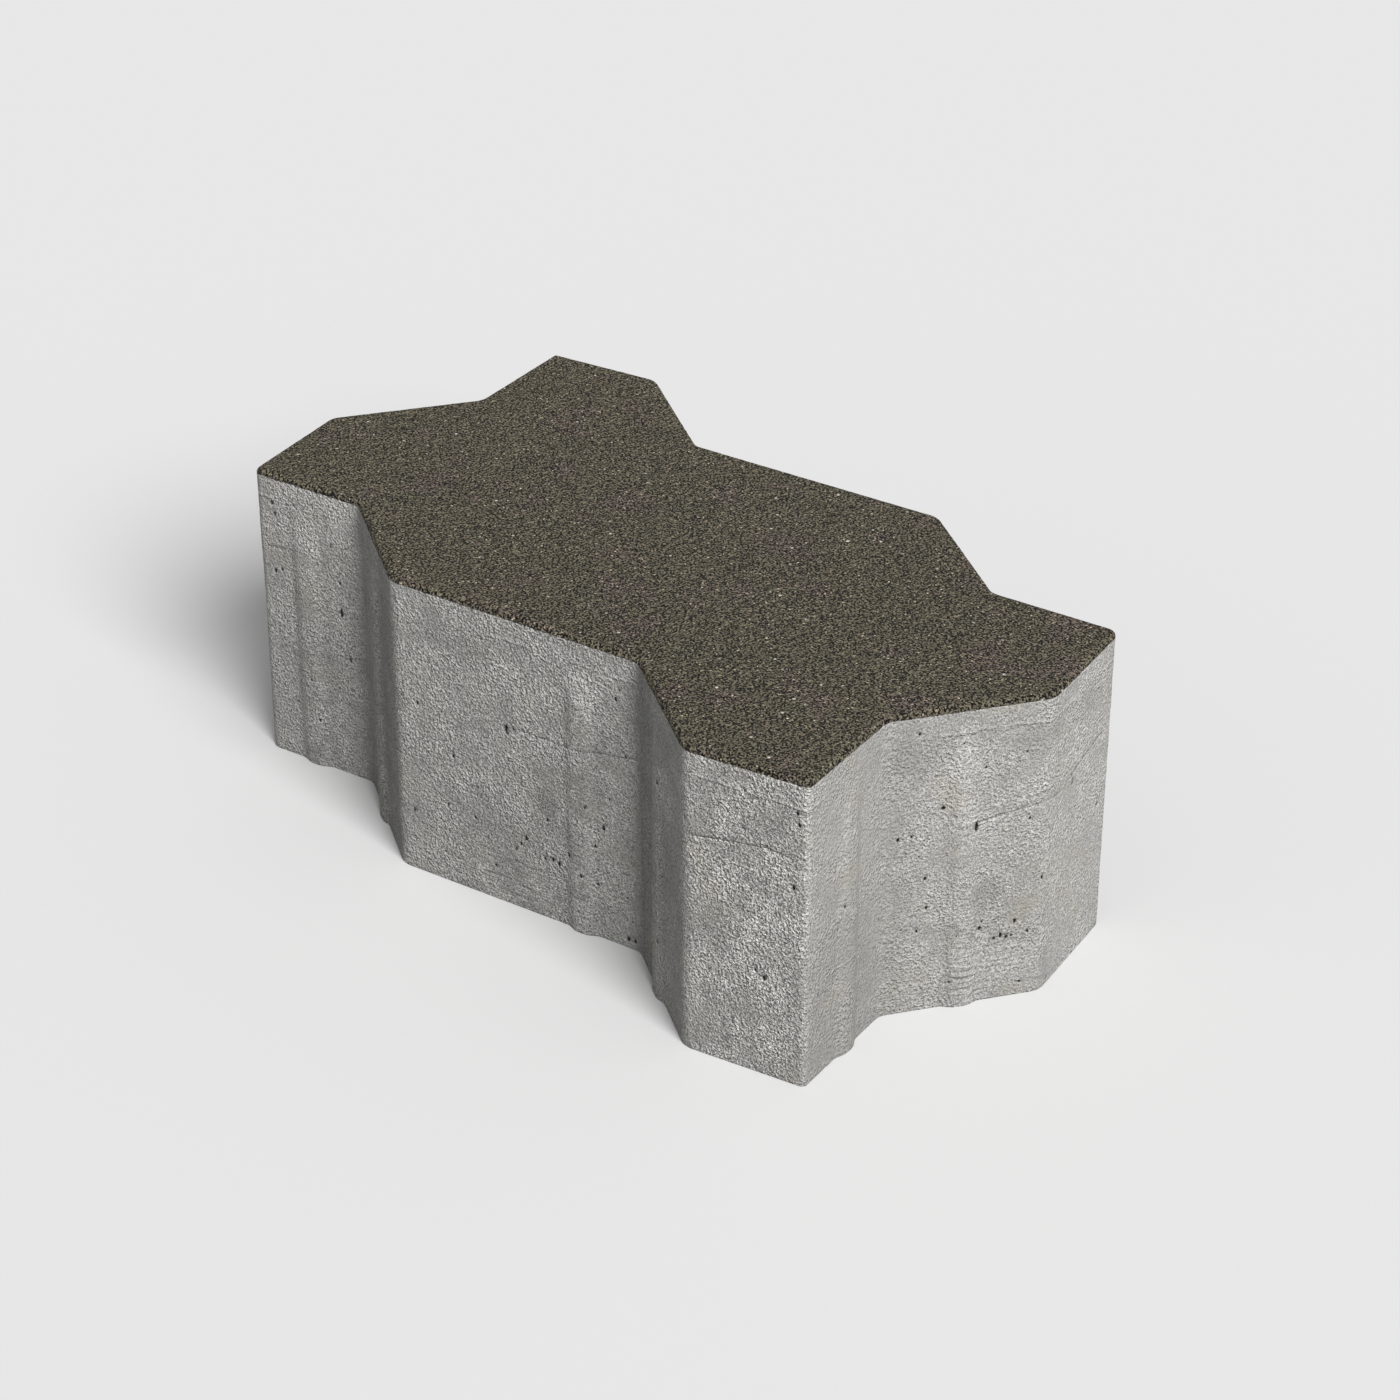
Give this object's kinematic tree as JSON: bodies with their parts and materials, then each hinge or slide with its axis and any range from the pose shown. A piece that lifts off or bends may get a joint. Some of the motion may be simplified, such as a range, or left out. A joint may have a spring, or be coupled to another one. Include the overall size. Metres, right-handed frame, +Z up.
{
  "type": "interlocking concrete paving stone",
  "caption": "Cast concrete paving stone with an interlocking zigzag outline, upright spacer ribs on its walls and a narrow bevel round its dark, fine-grained wearing face.",
  "frame": {"origin": "centre of the bedding face, on the ground under the middle of the stone", "axes": "+X along the long sides, from sharp corner to sharp corner; +Z up, out of the wearing face; +Y from the front long side to the back one"},
  "size_m": [0.217, 0.1162, 0.08],
  "materials": {
    "concrete": "cast concrete, matt, with a dark fine-grained wearing face"
  },
  "bodies": {
    "root": {"paving_stone": "concrete"}
  },
  "joints": []
}
